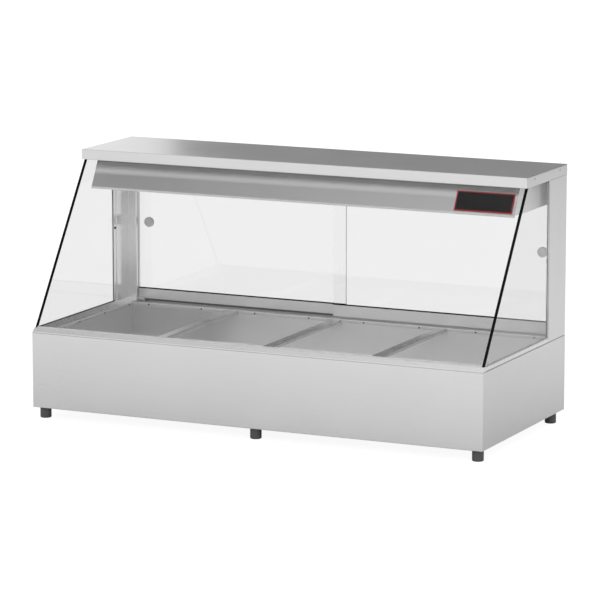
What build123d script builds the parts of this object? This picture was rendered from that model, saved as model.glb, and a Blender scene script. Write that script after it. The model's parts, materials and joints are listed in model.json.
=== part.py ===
from build123d import *
import os
from math import radians, sin, tan

# Countertop hot food display with four bays, straight sloped glass and sliding rear doors.
# Millimetres. +X is the viewer's right facing the front, +Y goes to the operator's side, +Z is up.
# The origin is under the middle of the whole object, on the surface that it stands on.

# Food pans and the well that they hang in
bay_count = 4
bay_pitch = 325.0
pan_length = 530.0
pan_gap = 1.0
well_depth = 118.0
well_cove = 30.0

# Sheet metal
sheet = 1.2
fold_inside = 0.8

# Base
side_rim = 26.5
front_rim = 23.0
rear_rim = 45.0
base_height = 211.3
top_flange = 12.0
bottom_flange = 60.0
rear_return = 18.0
floor_edge = 12.0
floor_play = 1.0

# Feet and their bolts
foot_height = 32.0
foot_radius = 15.75
foot_round = 3.0
foot_inset = 24.5
foot_front_inset = 30.0
foot_rear_inset = 41.0
foot_recess_radius = 8.5
foot_recess_depth = 10.0
bolt_radius = 4.0
bolt_play = 0.2
bolt_head_radius = 7.0
bolt_head_height = 5.5
nut_height = 6.5

# Deck
lip_rise = 13.0
lip_width = 10.0
rim_drop = 14.9
chamfer_run = 13.5
chamfer_foot = 3.2
rim_flange = 9.0
upstand_height = 16.0
upstand_end_gap = 0.5

# Screw heads along the rim of the well
rim_screw_radius = 2.4
rim_screw_tip_radius = 1.6
rim_screw_height = 1.4
rim_screw_drop = 4.4
long_side_screws = 8
long_side_screw_inset = 51.0
short_side_screws = 4
short_side_screw_front_inset = 57.0
short_side_screw_rear_inset = 25.0

# Divider bars and the cleats under their ends
bar_width = 30.0
bar_drop = 0.2
bar_end_gap = 1.5
seat_gap = 0.2
cleat_width = 42.0
cleat_reach = 14.0
cleat_drop = 16.0

# Fixed glass
glass = 6.0
glass_angle = 55.8
glass_inset = 1.4
gasket = 1.0
glass_rise = 436.4
glass_top_gap = 0.5

# Channels on the posts for the side glass
channel_depth = 13.5
channel_sheet = 1.0
channel_play = 0.3
channel_web_gap = 0.8
channel_bolt_rise = 213.7
channel_bolt_setback = 6.8
channel_bolt_radius = 2.0
channel_bolt_play = 0.1
channel_bolt_head_radius = 3.2
channel_bolt_head_height = 2.4

# Posts
post_depth = 127.5
post_wall_width = 12.5
post_seam_gap = 1.5
channel_cover = 10.5
weld_flange = 12.0
jamb_width = 26.0
jamb_lip = 9.5
jamb_lip_rise = 38.0
post_return = 27.5

# Top cap
cap_height = 29.3
cap_front_setback = 298.0
cap_overhang = 2.0
cap_side_flange = 12.0
cap_front_flange = 24.0
cap_rear_flange = 47.0
cap_screw_radius = 3.4
cap_screw_play = 0.1
cap_screw_shank_radius = 2.0
cap_screw_shank = 8.0
cap_screw_drop = 10.0
cap_screw_front_inset = 60.0
cap_screw_rear_inset = 57.0
cap_nut_radius = 5.0
cap_nut_height = 3.0

# Lamp canopy
canopy_inset = 33.0
canopy_drop = 75.7
canopy_gap = 29.4
canopy_angle = 60.5
canopy_rear_gap = 10.0
canopy_lip = 12.0
canopy_hem = 5.8

# Reflector, heat lamps and their holders
reflector_end_gap = 14.0
reflector_flat = 64.0
reflector_width = 156.0
reflector_height = 50.0
lamp_drop = 42.0
lamp_length = 230.0
lamp_radius = 5.5
lamp_cap_radius = 4.5
lamp_cap_length = 9.0
lamp_play = 0.1
lamp_end_gap = 0.3
holder_thickness = 14.0
holder_width = 20.0

# Sliding doors and their tracks
door_glass = 5.0
door_overlap = 35.4
door_top_gap = 5.0
track_setback = 16.5
track_wall = 1.5
track_middle = 2.0
track_floor = 1.2
groove_width = 8.0
track_end_gap = 1.0
lower_track_height = 5.0
upper_track_height = 16.0
pile_height = 7.4
track_notch = 18.4
shoe_width = 7.0
shoe_height = 35.5
shoe_floor = 1.5
shoe_play = 0.1
slide_gap = 0.3
open_stop_length = 24.0
closed_stop_length = 3.0
stop_height = 9.0
stop_play = 0.3
pull_inset = 33.6
pull_rise = 233.7
pull_flange_radius = 14.5
pull_body_radius = 12.0
pull_recess_radius = 10.5
pull_flange = 1.2
pull_web = 1.4
pull_play = 0.2

# Heating elements under the tank, and their clamps
element_radius = 4.0
element_gap = 0.3
element_leg_spacing = 240.0
element_inner_end = 50.0
element_outer_gap = 50.0
element_bend = 45.0
clamp_sheet = 1.0
clamp_width = 16.0
clamp_inner_half = 6.0
clamp_flange = 8.0
clamp_end_inset = 90.0

# Controls on the rear panel
panel_flange = 15.0
panel_flange_end_gap = 4.0
panel_screw_radius = 3.5
panel_screw_height = 1.6
panel_screw_rows = 3
panel_screw_columns = 3
control_inset = 197.5
control_pitch = 62.0
control_drop = 27.2
thermostat_size = 46.0
thermostat_depth = 34.0
thermostat_round = 3.0
spindle_radius = 3.0
spindle_length = 12.0
spindle_play = 0.05
spindle_hole_play = 2.0
knob_projection = 16.0
knob_gap = 0.5
knob_skirt_radius = 22.0
knob_skirt = 4.0
knob_body_radius = 17.0
knob_top_radius = 15.0
knob_grip_width = 7.0
knob_grip_rise = 3.0
bulb_radius = 3.5
bulb_length = 80.0
bulb_reach = 30.0
capillary_radius = 1.0
capillary_bend = 9.0
bezel_width = 32.0
bezel_height = 26.0
bezel_thickness = 2.0
switch_body_width = 27.0
switch_body_height = 21.0
switch_body_depth = 24.0
switch_cut_play = 0.2
pocket_width = 22.0
pocket_height = 17.2
rocker_play = 0.3
rocker_half_height = 6.8
rocker_rise = 5.5
rocker_dip = 1.5
rocker_axis_depth = 1.0
rocker_tilt = 10.0
pivot_radius = 1.2
pivot_length = 1.5
pivot_play = 0.05
pilot_radius = 5.9
pilot_flange_radius = 8.0
pilot_flange = 1.5
pilot_dome = 4.0
pilot_depth = 22.0
pilot_hole_play = 0.1
gland_inset = 87.5
gland_z = 66.0
gland_thread_radius = 8.0
gland_hex_radius = 12.0
gland_hex = 5.0
gland_dome_radius = 9.0
gland_dome = 9.0
gland_bore_radius = 4.0
gland_mouth = 1.2
gland_nut = 4.0
gland_inside = 9.0
gland_hole_play = 0.2
terminal_poles = 5
terminal_pitch = 14.0
terminal_width = 24.0
terminal_base = 12.0
terminal_fin = 2.0
terminal_fin_rise = 8.0
terminal_offset = 90.0
terminal_setback = 60.0

# Worked out from the sizes above: plan
fold_radius = fold_inside + sheet
well_half = bay_count * bay_pitch / 2 + pan_gap
half_width = well_half + side_rim
deck_half = half_width - sheet
well_length = pan_length + 2 * pan_gap
cabinet_depth = front_rim + well_length + rear_rim
front_y = -(cabinet_depth + knob_projection) / 2
rear_y = front_y + cabinet_depth
panel_y = rear_y - sheet
well_front = front_y + front_rim
well_rear = well_front + well_length
well_middle = (well_front + well_rear) / 2
post_front = rear_y - post_depth
post_web = post_front + channel_cover
post_inner = half_width - post_wall_width
jamb_inner = post_inner - jamb_width
cap_front = front_y + cap_front_setback
cap_rear = rear_y + cap_overhang
canopy_half = half_width - canopy_inset
canopy_rear = well_rear - canopy_rear_gap
bay_centres = [(bay - (bay_count - 1) / 2) * bay_pitch for bay in range(bay_count)]
bar_centres = [(bar - bay_count / 2) * bay_pitch for bar in range(1, bay_count)]

# Worked out from the sizes above: heights
seam_z = foot_height + base_height
lip_z = seam_z + lip_rise
rim_z = lip_z - rim_drop
flange_z = rim_z - rim_flange
upstand_z = rim_z + upstand_height
seat_z = flange_z - seat_gap
bar_top = rim_z - bar_drop
cap_z = lip_z + glass_rise
top_z = cap_z + cap_height
floor_z = foot_height + 2 * sheet

# Worked out from the sizes above: tank
tank_half = well_half + sheet
tank_front = well_front - sheet
tank_rear = well_rear + sheet
tank_floor = rim_z - well_depth
tank_top = rim_z - fold_radius
tank_underside = tank_floor - sheet
control_z = tank_underside - control_drop

# Worked out from the sizes above: glass
glass_run = 1 / tan(radians(glass_angle))
glass_level = glass / sin(radians(glass_angle))
glass_foot_y = front_y + chamfer_run + glass_inset
glass_foot_z = lip_z + gasket
side_glass_x = deck_half - lip_width / 2
side_glass_inner = side_glass_x - glass / 2
side_glass_outer = side_glass_x + glass / 2
channel_outer_half = glass / 2 + channel_play + channel_sheet
channel_inner = side_glass_x - channel_outer_half
channel_front = post_web - channel_depth
channel_bolt_y = post_web - channel_bolt_setback
channel_bolt_z = lip_z + channel_bolt_rise

# Worked out from the sizes above: canopy and lamps
canopy_z = cap_z - canopy_drop
canopy_top = top_z - sheet
canopy_front = glass_foot_y + (canopy_z - glass_foot_z) * glass_run + glass_level + canopy_gap
canopy_front_top = canopy_front + (canopy_top - canopy_z) / tan(radians(canopy_angle))
reflector_top = canopy_top - sheet
reflector_y = (canopy_front_top + canopy_rear) / 2
lamp_z = reflector_top - sheet - lamp_drop

# Worked out from the sizes above: doors
track_half = well_half - track_end_gap
track_front = well_rear + track_setback
front_groove = track_front + track_wall
middle_wall = front_groove + groove_width
rear_groove = middle_wall + track_middle
track_rear = rear_groove + groove_width + track_wall
track_deck_z = rim_z + track_floor
front_door_y = front_groove + groove_width / 2
rear_door_y = rear_groove + groove_width / 2
shoe_z = track_deck_z + slide_gap
door_glass_z = shoe_z + shoe_floor
door_top = cap_z - door_top_gap
door_outer_end = track_half - closed_stop_length - stop_play
door_inner_end = -door_overlap / 2
pull_x = door_outer_end - pull_inset
pull_z = rim_z + pull_rise

# Worked out from the sizes above: controls
control_x = -half_width + control_inset
gland_x = -half_width + gland_inset
switch_x = [control_x + control_pitch, control_x + 2 * control_pitch]
pilot_x = control_x + 3 * control_pitch
rocker_y = rear_y - rocker_axis_depth
pocket_y = rocker_y - rocker_half_height - rocker_play
element_z = tank_underside - element_gap - element_radius
element_outer = tank_half - element_outer_gap


def block(x0, x1, y0, y1, z0, z1):
    """A plain block between two corners."""
    centre = Pos((x0 + x1) / 2, (y0 + y1) / 2, (z0 + z1) / 2)
    return centre * Box(x1 - x0, y1 - y0, z1 - z0)


def drawn(face, axis, start, end):
    """A flat outline drawn along one axis, from start to end."""
    planes = {"x": Plane.YZ.offset(start), "y": Plane.XZ.offset(-end), "z": Plane.XY.offset(start)}
    return extrude(planes[axis] * face, amount=end - start)


def folded(points, thickness=sheet):
    """The cut end of a bent sheet: the points are one face's line of folds, with the metal on its left."""
    corners = [Vector(*point) for point in points]
    runs = [(end - start).normalized() for start, end in zip(corners, corners[1:])]
    lefts = [Vector(-run.Y, run.X) for run in runs]
    shifts = [(before + after) * (1 / (1 + before.dot(after))) for before, after in zip(lefts, lefts[1:])]
    shifts = [lefts[0]] + shifts + [lefts[-1]]
    other_corners = [corner + shift * thickness for corner, shift in zip(corners, shifts)]
    turns_left = [left.dot(run) > 0 for left, run in zip(lefts, runs[1:])]
    wide = fold_inside + thickness
    line = FilletPolyline(*corners, radius=[wide if left else fold_inside for left in turns_left])
    other = FilletPolyline(*other_corners, radius=[fold_inside if left else wide for left in turns_left])
    ends = [Line(line @ 1, other @ 1), Line(other @ 0, line @ 0)]
    return make_face([*line.edges(), *other.edges(), *ends])


def filled(points):
    """The area inside a line of folds, closed by a straight line from its last point to its first."""
    line = FilletPolyline(*points, radius=fold_radius)
    return make_face([*line.edges(), Line(line @ 1, line @ 0)])


def outline(points):
    """The area inside a closed line of straight runs."""
    return make_face(Polyline(*points, close=True))


def rod(axis, centre, radius, start, end):
    """A round bar along one axis. The centre gives the other two coordinates, in order."""
    return drawn(Pos(*centre) * Circle(radius), axis, start, end)


def turned(points, x, y, z):
    """A turned piece along Y: the points are radius and distance back from the place given."""
    plane = Plane(origin=(x, y, z), x_dir=(1, 0, 0), z_dir=(0, 0, 1))
    return revolve(plane * outline(points), axis=Axis((x, y, z), (0, 1, 0)))


def rear_faced(points, x, z):
    """A turned piece on the rear panel: the points are radius and distance out from the panel's face."""
    return turned(points, x, rear_y, z)


def both_sides(right_piece):
    """The right-hand piece and its mirror image."""
    return mirror(right_piece, about=Plane.YZ), right_piece


def glass_y(z):
    """Where the outer face of the front glass stands at a height."""
    return glass_foot_y + (z - glass_foot_z) * glass_run


def glass_section(z0, z1):
    """The front glass's own slanted band between two heights, seen from the side."""
    band = [(glass_y(z0), z0), (glass_y(z0) + glass_level, z0)]
    band += [(glass_y(z1) + glass_level, z1), (glass_y(z1), z1)]
    return outline(band)


# Base

def foot_places():
    """Node name suffix and centre of each foot."""
    columns = {"left": -half_width + foot_inset, "centre": 0.0, "right": half_width - foot_inset}
    rows = {"front": front_y + foot_front_inset, "rear": rear_y - foot_rear_inset}
    return {f"{row}_{column}": (x, y) for row, y in rows.items() for column, x in columns.items()}


def bolt_holes(z0, z1):
    """The holes for the foot bolts between two heights."""
    radius = bolt_radius + bolt_play
    return [rod("z", place, radius, z0, z1) for place in foot_places().values()]


def base_shell():
    """Front, sides and flanges of the base, folded from one sheet, open at the top, bottom and rear."""
    outer = block(-half_width, half_width, front_y, panel_y, foot_height, seam_z)
    outer = fillet(outer.edges() - outer.faces().sort_by(Axis.Y)[-1].edges(), fold_radius)
    inner_z = (foot_height + sheet, seam_z - sheet)
    inner = block(-deck_half, deck_half, front_y + sheet, panel_y - sheet, *inner_z)
    inner = fillet(inner.edges() - inner.faces().sort_by(Axis.Y)[-1].edges(), fold_inside)
    top_x = half_width - top_flange
    top_window = block(-top_x, top_x, front_y + top_flange, rear_y, seam_z - 2 * sheet, seam_z + sheet)
    bottom_x = half_width - bottom_flange
    bottom_y = (front_y + bottom_flange, rear_y - bottom_flange)
    bottom_window = block(-bottom_x, bottom_x, *bottom_y, foot_height - sheet, floor_z)
    rear_x = half_width - rear_return
    rear_z = (foot_height + rear_return, seam_z + sheet)
    rear_window = block(-rear_x, rear_x, panel_y - 2 * sheet, rear_y, *rear_z)
    return outer - inner - top_window - bottom_window - rear_window - bolt_holes(foot_height, floor_z)


def base_floor():
    """A shallow tray that lies on the bottom flanges and closes the base from below."""
    side = deck_half - floor_play
    front = front_y + sheet + floor_play
    rear = panel_y - sheet - floor_play
    tray = block(-side, side, front, rear, foot_height + sheet, floor_z + floor_edge)
    inside = block(-side + sheet, side - sheet, front + sheet, rear - sheet, floor_z, floor_z + floor_edge)
    return tray - inside - bolt_holes(foot_height + sheet, floor_z)


def foot(x, y):
    """A round rubber foot, hollowed from below for its bolt."""
    body = rod("z", (x, y), foot_radius, 0, foot_height)
    body = fillet(body.faces().sort_by(Axis.Z)[0].edges(), foot_round)
    recess = rod("z", (x, y), foot_recess_radius, 0, foot_recess_depth)
    bore = rod("z", (x, y), bolt_radius + bolt_play, foot_recess_depth, foot_height)
    return body - recess - bore


def hexagon(radius, centre, axis, start, end):
    """A six-sided head or nut along one axis."""
    return drawn(Pos(*centre) * RegularPolygon(radius, side_count=6), axis, start, end)


def foot_bolts():
    """One bolt for each foot: head in the foot's recess, nut on the base floor."""
    bolts = []
    for place in foot_places().values():
        head = hexagon(bolt_head_radius, place, "z", foot_recess_depth - bolt_head_height, foot_recess_depth)
        shank = rod("z", place, bolt_radius, foot_recess_depth, floor_z + nut_height)
        nut = hexagon(bolt_head_radius, place, "z", floor_z, floor_z + nut_height)
        bolts.append(head + shank + nut)
    return Compound(bolts)


# Deck, well and divider bars

def deck():
    """The raised frame round the well: chamfered front, sloped sides, rim flange and rear upstand."""
    side_points = [(deck_half - top_flange, seam_z), (deck_half, seam_z), (deck_half, lip_z)]
    side_points += [(deck_half - lip_width, lip_z), (well_half, rim_z), (well_half, flange_z)]
    side_rail = drawn(folded(side_points), "y", well_front - sheet / 2, panel_y)
    side_rail -= block(well_half, tank_half, tank_rear, panel_y, flange_z, rim_z - sheet)
    left_rail, right_rail = both_sides(side_rail)

    chamfer_points = [(well_front, lip_z), (front_y + chamfer_run, lip_z), (front_y, seam_z + chamfer_foot)]
    chamfer_points += [(front_y, seam_z), (front_y + top_flange, seam_z)]
    front_rail = drawn(folded([(well_front, flange_z)] + chamfer_points), "x", -deck_half, deck_half)
    front_rail -= both_sides(block(tank_half, deck_half, front_y, well_front, flange_z, seam_z))
    end_cap = drawn(filled([(well_front, seam_z)] + chamfer_points), "x", deck_half - sheet, deck_half)
    left_cap, right_cap = both_sides(end_cap)

    rear_points = [(panel_y, upstand_z), (panel_y, rim_z), (well_rear, rim_z), (well_rear, flange_z)]
    rear_sill = drawn(folded(rear_points), "x", -well_half - sheet / 2, well_half + sheet / 2)
    upstand_x = half_width - post_return - upstand_end_gap
    rear_sill -= both_sides(block(upstand_x, deck_half, panel_y, rear_y, rim_z, upstand_z))
    return front_rail + left_cap + right_cap + left_rail + right_rail + rear_sill


def well_tank():
    """The tank hung behind the rim flange, with a cove along its four bottom edges."""
    walls = block(-tank_half - sheet, tank_half + sheet, tank_front - sheet, tank_rear + sheet,
                  tank_underside, tank_top)
    walls = fillet(walls.faces().sort_by(Axis.Z)[0].edges(), well_cove + sheet)
    hollow = block(-tank_half, tank_half, tank_front, tank_rear, tank_floor, tank_top)
    hollow = fillet(hollow.faces().sort_by(Axis.Z)[0].edges(), well_cove)
    return walls - hollow


def spread(first, last, count):
    """Evenly spaced places from first to last."""
    return [first + (last - first) * step / (count - 1) for step in range(count)]


def tank_screws():
    """Low round heads along the rim flange, eight on each long side and four on each short side."""
    z = rim_z - rim_screw_drop
    standing = (Align.CENTER, Align.CENTER, Align.MIN)
    head = Cone(rim_screw_radius, rim_screw_tip_radius, rim_screw_height, align=standing)
    heads = []
    end_x = well_half - long_side_screw_inset
    for x in spread(-end_x, end_x, long_side_screws):
        heads.append(Plane(origin=(x, well_front, z), z_dir=(0, 1, 0)) * head)
        heads.append(Plane(origin=(x, well_rear, z), z_dir=(0, -1, 0)) * head)
    ends_y = (well_front + short_side_screw_front_inset, well_rear - short_side_screw_rear_inset)
    for y in spread(*ends_y, short_side_screws):
        heads.append(Plane(origin=(-well_half, y, z), z_dir=(1, 0, 0)) * head)
        heads.append(Plane(origin=(well_half, y, z), z_dir=(-1, 0, 0)) * head)
    return Compound(heads)


def divider_cleats():
    """Small angles on the tank's front and rear walls, one under each end of each divider bar."""
    points = [(tank_rear, seat_z - cleat_drop), (tank_rear, seat_z), (tank_rear - cleat_reach, seat_z)]
    face = folded(points)
    cleats = []
    for x in bar_centres:
        rear_cleat = drawn(face, "x", x - cleat_width / 2, x + cleat_width / 2)
        cleats += [rear_cleat, mirror(rear_cleat, about=Plane.XZ.offset(-well_middle))]
    return Compound(cleats)


def divider_bar(x):
    """A channel bar, open below, that bridges the well between two bays."""
    half = bar_width / 2
    points = [(x + half, seat_z), (x + half, bar_top), (x - half, bar_top), (x - half, seat_z)]
    return drawn(folded(points), "y", well_front + bar_end_gap, well_rear - bar_end_gap)


# Posts, glass and seals

def right_post():
    """A rear corner post welded from two folded sheets: an outer wall, and a jamb with inner wall and web."""
    outer = [(half_width, post_front), (half_width, rear_y), (half_width - post_return, rear_y)]
    inner = [(jamb_inner, well_rear + jamb_lip), (jamb_inner, well_rear), (post_inner, well_rear)]
    inner += [(post_inner, post_web), (deck_half, post_web), (deck_half, post_web + weld_flange)]
    bottom = seam_z + post_seam_gap
    body = drawn(folded(outer), "z", bottom, cap_z) + drawn(folded(inner), "z", bottom, cap_z)
    foot_line = [(deck_half, seam_z), (deck_half, lip_z), (deck_half - lip_width, lip_z), (well_half, rim_z)]
    foot_line += [(jamb_inner, rim_z), (jamb_inner, flange_z), (deck_half, flange_z)]
    lip_foot = block(jamb_inner, jamb_inner + sheet, well_rear + fold_radius, well_rear + jamb_lip,
                     bottom, rim_z + jamb_lip_rise)
    return body - drawn(outline(foot_line), "y", post_front, panel_y) - lip_foot


def right_glass_channel():
    """A channel on the post's web, behind its outer wall, that takes the rear edge of the side glass."""
    outer = (channel_inner, channel_inner + 2 * channel_outer_half)
    inner = (outer[0] + channel_sheet, outer[1] - channel_sheet)
    body = block(*outer, channel_front, post_web, lip_z, cap_z)
    slot = block(*inner, channel_front, post_web - channel_sheet, lip_z, cap_z)
    hole_radius = channel_bolt_radius + channel_bolt_play
    return body - slot - rod("x", (channel_bolt_y, channel_bolt_z), hole_radius, outer[0], inner[0])


def channel_bolts():
    """A bolt through the inner wall of each channel that clamps the glass: round head inside the cabinet."""
    place = (channel_bolt_y, channel_bolt_z)
    head = rod("x", place, channel_bolt_head_radius, channel_inner - channel_bolt_head_height, channel_inner)
    shank = rod("x", place, channel_bolt_radius, channel_inner, side_glass_inner)
    return Compound(both_sides(head + shank))


def right_side_glass():
    """A four-cornered pane: slanted front edge on the seal, rear edge in the channel."""
    rear = post_web - channel_sheet - channel_web_gap
    top = cap_z - glass_top_gap
    corners = [(glass_y(glass_foot_z) + glass_level, glass_foot_z), (rear, glass_foot_z), (rear, top)]
    corners += [(glass_y(top) + glass_level, top)]
    return drawn(outline(corners), "x", side_glass_inner, side_glass_outer)


def front_glass():
    """The straight sloped front pane, between the two edge seals."""
    return drawn(glass_section(glass_foot_z, cap_z - glass_top_gap), "x", -side_glass_inner, side_glass_inner)


def right_edge_seal():
    """A square strip that joins the front pane's end to the side pane's slanted edge."""
    return drawn(glass_section(lip_z, cap_z - glass_top_gap), "x", side_glass_inner, side_glass_outer)


def front_sill_gasket():
    """A thin strip on the deck's lip under the front pane."""
    y0 = glass_y(glass_foot_z)
    return block(-side_glass_inner, side_glass_inner, y0, y0 + glass_level, lip_z, glass_foot_z)


def right_sill_gasket():
    """A thin strip on the deck's lip under the side pane, from the seal to the channel."""
    y0 = glass_y(glass_foot_z) + glass_level
    return block(side_glass_inner, side_glass_outer, y0, channel_front, lip_z, glass_foot_z)


# Top cap, canopy and lamps

def cap_screw_places():
    """Depth and height of the screws in each side skirt of the cap."""
    z = top_z - cap_screw_drop
    return [(cap_front + cap_screw_front_inset, z), (cap_rear - cap_screw_rear_inset, z)]


def top_cap():
    """An inverted tray with flanges turned in below, drilled for the screws in its side skirts."""
    outer = fillet(block(-half_width, half_width, cap_front, cap_rear, cap_z, top_z).edges(), fold_radius)
    inner = block(-deck_half, deck_half, cap_front + sheet, cap_rear - sheet, cap_z + sheet, top_z - sheet)
    window_x = half_width - cap_side_flange
    window_y = (cap_front + cap_front_flange, cap_rear - cap_rear_flange)
    window = block(-window_x, window_x, *window_y, cap_z - sheet, cap_z + 2 * sheet)
    radius = cap_screw_radius + cap_screw_play
    holes = [rod("x", place, radius, -half_width, half_width) for place in cap_screw_places()]
    return outer - fillet(inner.edges(), fold_inside) - window - holes


def cap_screws():
    """Flush screws in the cap's side skirts, each with a clip nut behind the sheet."""
    screws = []
    for place in cap_screw_places():
        head = rod("x", place, cap_screw_radius, deck_half, half_width)
        shank = rod("x", place, cap_screw_shank_radius, deck_half - cap_screw_shank, deck_half)
        nut = rod("x", place, cap_nut_radius, deck_half - cap_nut_height, deck_half)
        screws += both_sides(head + shank + nut)
    return Compound(screws)


def lamp_canopy():
    """The hood under the cap: hem, sloped front, top, rear and lip from one sheet, with end plates."""
    points = [(canopy_rear - canopy_lip, canopy_z), (canopy_rear, canopy_z), (canopy_rear, canopy_top)]
    points += [(canopy_front_top, canopy_top), (canopy_front, canopy_z)]
    wrap = drawn(folded(points + [(canopy_front, canopy_z - canopy_hem)]), "x", -canopy_half, canopy_half)
    left_plate, right_plate = both_sides(drawn(filled(points), "x", canopy_half - sheet, canopy_half))
    return wrap + left_plate + right_plate


def lamp_reflector():
    """A trough of bright sheet along the canopy, above the lamps."""
    flat = reflector_flat / 2
    wing = reflector_width / 2
    low = reflector_top - reflector_height
    points = [(reflector_y + wing, low), (reflector_y + flat, reflector_top)]
    points += [(reflector_y - flat, reflector_top), (reflector_y - wing, low)]
    end = canopy_half - reflector_end_gap
    return drawn(folded(points), "x", -end, end)


def heat_lamps():
    """One quartz tube with two end caps over each bay."""
    lamps = []
    for x in bay_centres:
        tube = rod("x", (reflector_y, lamp_z), lamp_radius, x - lamp_length / 2, x + lamp_length / 2)
        tip = lamp_length / 2 + lamp_end_gap + lamp_cap_length
        pins = rod("x", (reflector_y, lamp_z), lamp_cap_radius, x - tip, x + tip)
        lamps.append(tube + pins)
    return Compound(lamps)


def lamp_holders():
    """Two ceramic holders for each lamp, hung under the reflector, each with a blind socket."""
    hang = reflector_top - sheet - lamp_z
    profile = Pos(reflector_y, lamp_z + hang / 2) * Rectangle(holder_width, hang)
    profile += Pos(reflector_y, lamp_z) * Circle(holder_width / 2)
    holders = []
    for x in bay_centres:
        for side in (-1, 1):
            face_x = x + side * (lamp_length / 2 + lamp_end_gap)
            back_x = face_x + side * holder_thickness
            body = drawn(profile, "x", min(face_x, back_x), max(face_x, back_x))
            end_x = face_x + side * (lamp_cap_length + lamp_end_gap)
            socket = rod("x", (reflector_y, lamp_z), lamp_cap_radius + lamp_play,
                         min(face_x, end_x), max(face_x, end_x))
            holders.append(body - socket)
    return Compound(holders)


# Sliding doors

def track_section(z0, z1, floor_at_top):
    """The cut end of a two-groove track."""
    grooves = (z0, z1 - track_floor) if floor_at_top else (z0 + track_floor, z1)
    middle = (grooves[0] + grooves[1]) / 2
    rise = grooves[1] - grooves[0]
    body = Pos((track_front + track_rear) / 2, (z0 + z1) / 2) * Rectangle(track_rear - track_front, z1 - z0)
    for centre in (front_door_y, rear_door_y):
        body -= Pos(centre, middle) * Rectangle(groove_width, rise)
    return body


def lower_door_track():
    """The track on the deck's rear land. A notch beside the left stop lets crumbs out."""
    top = rim_z + lower_track_height
    rails = drawn(track_section(rim_z, top, False), "x", -track_half, track_half)
    notch_x = open_stop_length - track_half
    notch = block(notch_x, notch_x + track_notch, track_front, front_groove, track_deck_z, top)
    return rails - notch - block(-track_half, track_half, middle_wall, rear_groove, track_deck_z, top)


def upper_door_track():
    """The deeper track under the cap's rear flange."""
    return drawn(track_section(cap_z - upper_track_height, cap_z, True), "x", -track_half, track_half)


def track_pile():
    """A brush strip that stands in the lower track, between the two doors."""
    return block(-track_half, track_half, middle_wall, rear_groove, track_deck_z, track_deck_z + pile_height)


def door_stops():
    """Blocks in the ends of both grooves: a long one where a door opens to, a short one where it closes."""
    half = (groove_width - 2 * slide_gap) / 2
    stops = []
    for centre, closed_side in ((front_door_y, 1), (rear_door_y, -1)):
        for side, length in ((closed_side, closed_stop_length), (-closed_side, open_stop_length)):
            ends = sorted((side * track_half, side * (track_half - length)))
            stops.append(block(*ends, centre - half, centre + half, track_deck_z, track_deck_z + stop_height))
    return Compound(stops)


def door_span(side):
    """The two ends of a door along X. Side 1 is the right door, -1 the left."""
    return sorted((side * door_inner_end, side * door_outer_end))


def finger_pull(side, y):
    """A round cup let into the door glass, hollowed from both faces."""
    face = door_glass / 2
    outer = face + pull_flange
    points = [(0, -pull_web / 2), (pull_recess_radius, -pull_web / 2), (pull_recess_radius, -outer)]
    points += [(pull_flange_radius, -outer), (pull_flange_radius, -face), (pull_body_radius, -face)]
    points += [(radius, -along) for radius, along in reversed(points)]
    return turned(points, side * pull_x, y, pull_z)


def door_pane(side, y):
    """The door's pane, drilled for its finger pull."""
    pane = block(*door_span(side), y - door_glass / 2, y + door_glass / 2, door_glass_z, door_top)
    radius = pull_body_radius + pull_play
    return pane - rod("y", (side * pull_x, pull_z), radius, y - door_glass / 2, y + door_glass / 2)


def door_shoe(side, y):
    """A tall channel along the bottom edge of the door glass that runs in the groove."""
    body = block(*door_span(side), y - shoe_width / 2, y + shoe_width / 2, shoe_z, shoe_z + shoe_height)
    slot = door_glass / 2 + shoe_play
    return body - block(*door_span(side), y - slot, y + slot, door_glass_z, shoe_z + shoe_height)


# Rear panel, controls and heating

def rear_panel():
    """The flat rear cover with a top flange under the deck's land, cut out for the controls."""
    top = rim_z - sheet
    fold_x = well_half - panel_flange_end_gap
    points = [(rear_y, foot_height), (rear_y, top), (rear_y - panel_flange, top)]
    panel = drawn(folded(points), "x", -fold_x, fold_x)
    panel += block(-half_width, -fold_x, panel_y, rear_y, foot_height, top - fold_radius)
    panel += block(fold_x, half_width, panel_y, rear_y, foot_height, top - fold_radius)
    cuts = [rod("y", (control_x, control_z), spindle_radius + spindle_hole_play, panel_y, rear_y)]
    cuts.append(rod("y", (pilot_x, control_z), pilot_radius + pilot_hole_play, panel_y, rear_y))
    cuts.append(rod("y", (gland_x, gland_z), gland_thread_radius + gland_hole_play, panel_y, rear_y))
    half_cut = switch_body_width / 2 + switch_cut_play
    rise_cut = switch_body_height / 2 + switch_cut_play
    cut_z = (control_z - rise_cut, control_z + rise_cut)
    for x in switch_x:
        cuts.append(block(x - half_cut, x + half_cut, panel_y, rear_y, *cut_z))
    return panel - cuts


def rear_panel_screws():
    """Round heads down both edges of the rear panel and along its bottom edge."""
    edge_x = half_width - rear_return / 2
    edge_z = foot_height + rear_return / 2
    places = [(side * edge_x, z) for side in (-1, 1)
              for z in spread(edge_z, seam_z - rear_return, panel_screw_rows)]
    inner_x = edge_x / 2
    places += [(x, edge_z) for x in spread(-inner_x, inner_x, panel_screw_columns)]
    profile = [(0, 0), (panel_screw_radius, 0), (panel_screw_radius, panel_screw_height / 2)]
    profile += [(panel_screw_radius / 2, panel_screw_height), (0, panel_screw_height)]
    return Compound([rear_faced(profile, x, z) for x, z in places])


def thermostat():
    """The regulator's case behind the rear panel, bored for the knob's spindle."""
    half = thermostat_size / 2
    case = block(control_x - half, control_x + half, panel_y - thermostat_depth, panel_y,
                 control_z - half, control_z + half)
    case = fillet(case.edges().filter_by(Axis.Y), thermostat_round)
    bore_radius = spindle_radius + spindle_play
    return case - rod("y", (control_x, control_z), bore_radius, panel_y - spindle_length, panel_y)


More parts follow.
